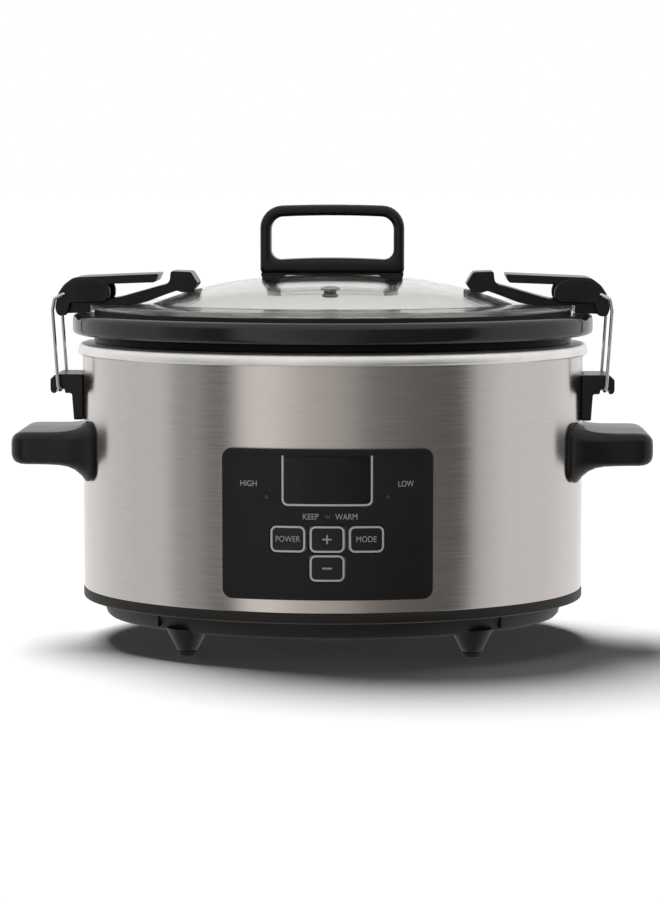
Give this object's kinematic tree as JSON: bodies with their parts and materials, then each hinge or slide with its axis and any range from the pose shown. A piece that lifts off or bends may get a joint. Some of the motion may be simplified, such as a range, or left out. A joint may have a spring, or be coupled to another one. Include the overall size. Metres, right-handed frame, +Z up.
{
  "type": "slow cooker",
  "caption": "Oval slow cooker with brushed steel wrap, lift-out black stoneware crock, domed glass lid with side latches, carrying handles and a button control panel.",
  "frame": {"origin": "on the table, under the middle of the cooker", "axes": "+Z up, the control panel faces -Y, +X to the right seen from the front"},
  "size_m": [0.368, 0.227, 0.2522],
  "materials": {
    "base_plastic": "matte",
    "foot_rubber": "matte",
    "screw_steel": "satin",
    "wrap_steel": "brushed",
    "well_aluminium": "satin",
    "shield_steel": "satin",
    "heater_mica": "matte",
    "insulation_wool": "fibrous",
    "board_green": "satin",
    "relay_blue": "satin",
    "transformer_yellow": "satin",
    "terminal_plastic": "matte",
    "gland_plastic": "matte",
    "housing_plastic": "matte",
    "switch_metal": "satin",
    "display_plastic": "gloss",
    "panel_plastic": "satin",
    "window_plastic": "gloss",
    "trim_silver": "satin",
    "led_lens": "gloss",
    "key_plastic": "satin",
    "handle_plastic": "satin",
    "hook_plastic": "satin",
    "stoneware": "glossy glaze",
    "lid_clear_glass": "clear",
    "gasket_rubber": "matte",
    "lid_handle_plastic": "satin",
    "lid_metal": "satin",
    "latch_plastic": "satin",
    "pad_rubber": "matte",
    "clip_steel": "satin",
    "bail_wire": "satin"
  },
  "bodies": {
    "base": {"base_tray": "base_plastic", "foot_pad_fl": "foot_rubber", "foot_pad_fr": "foot_rubber", "foot_pad_bl": "foot_rubber", "foot_pad_br": "foot_rubber", "base_screws": "screw_steel", "outer_shell": "wrap_steel", "heating_well": "well_aluminium", "heat_shield": "shield_steel", "heater_band": "heater_mica", "insulation": "insulation_wool", "temperature_sensor": "well_aluminium", "thermal_fuse": "screw_steel", "clamp_bolt": "screw_steel", "power_board": "board_green", "relay": "relay_blue", "transformer": "transformer_yellow", "terminal_block": "terminal_plastic", "cord_gland": "gland_plastic", "control_housing": "housing_plastic", "control_board": "board_green", "key_switches": "switch_metal", "display_module": "display_plastic", "panel_bezel": "panel_plastic", "panel_screws": "screw_steel", "display_window": "window_plastic", "display_trim": "trim_silver", "led_high": "led_lens", "led_low": "led_lens", "led_warm": "led_lens", "side_handle_l": "handle_plastic", "side_handle_r": "handle_plastic", "latch_hook_l": "hook_plastic", "latch_hook_r": "hook_plastic", "handle_screws": "screw_steel"},
    "key_power": {"key_power": "key_plastic"},
    "key_plus": {"key_plus": "key_plastic"},
    "key_mode": {"key_mode": "key_plastic"},
    "key_minus": {"key_minus": "key_plastic"},
    "crock": {"crock": "stoneware"},
    "lid": {"lid_glass": "lid_clear_glass", "lid_gasket": "gasket_rubber", "lid_handle": "lid_handle_plastic", "lid_handle_foot": "lid_handle_plastic", "lid_screws": "lid_metal", "lid_washers": "lid_metal", "steam_vent": "lid_metal", "latch_arm_l": "latch_plastic", "latch_arm_r": "latch_plastic", "arm_pad_l": "pad_rubber", "arm_pad_r": "pad_rubber", "rim_clip_l": "clip_steel", "rim_clip_r": "clip_steel", "pivot_pin_l": "clip_steel", "pivot_pin_r": "clip_steel"},
    "left_lever": {"lever_l": "latch_plastic"},
    "right_lever": {"lever_r": "latch_plastic"},
    "left_bail": {"bail_l": "bail_wire"},
    "right_bail": {"bail_r": "bail_wire"}
  },
  "joints": [
    {"name": "key_power_press", "type": "slide", "parent": "base", "child": "key_power", "axis": [0, 1, 0], "range_m": [0, 0.0006], "stiffness_N_per_m": 700, "springref_m": -0.001},
    {"name": "key_plus_press", "type": "slide", "parent": "base", "child": "key_plus", "axis": [0, 1, 0], "range_m": [0, 0.0006], "stiffness_N_per_m": 700, "springref_m": -0.001},
    {"name": "key_mode_press", "type": "slide", "parent": "base", "child": "key_mode", "axis": [0, 1, 0], "range_m": [0, 0.0006], "stiffness_N_per_m": 700, "springref_m": -0.001},
    {"name": "key_minus_press", "type": "slide", "parent": "base", "child": "key_minus", "axis": [0, 1, 0], "range_m": [0, 0.0006], "stiffness_N_per_m": 700, "springref_m": -0.001},
    {"name": "crock_lift", "type": "slide", "parent": "base", "child": "crock", "axis": [0, 0, 1], "range_m": [0, 0.12]},
    {"name": "lid_lift", "type": "slide", "parent": "crock", "child": "lid", "axis": [0, 0, 1], "range_m": [0, 0.1]},
    {"name": "right_lever_open", "type": "hinge", "parent": "lid", "child": "right_lever", "pos_m": [0.1551, 0, 0.1922], "axis": [0, 1, 0], "range_deg": [0, 110]},
    {"name": "left_lever_open", "type": "hinge", "parent": "lid", "child": "left_lever", "pos_m": [-0.1551, 0, 0.1922], "axis": [0, -1, 0], "range_deg": [0, 110]},
    {"name": "right_bail_swing", "type": "hinge", "parent": "right_lever", "child": "right_bail", "pos_m": [0.1535, 0, 0.2014], "axis": [0, 1, 0], "range_deg": [-97, 0]},
    {"name": "left_bail_swing", "type": "hinge", "parent": "left_lever", "child": "left_bail", "pos_m": [-0.1535, 0, 0.2014], "axis": [0, -1, 0], "range_deg": [-97, 0]}
  ],
  "couplings": [
    {"joint": "right_bail_swing", "follows": "right_lever_open", "ratio": -0.875},
    {"joint": "left_bail_swing", "follows": "left_lever_open", "ratio": -0.875}
  ]
}
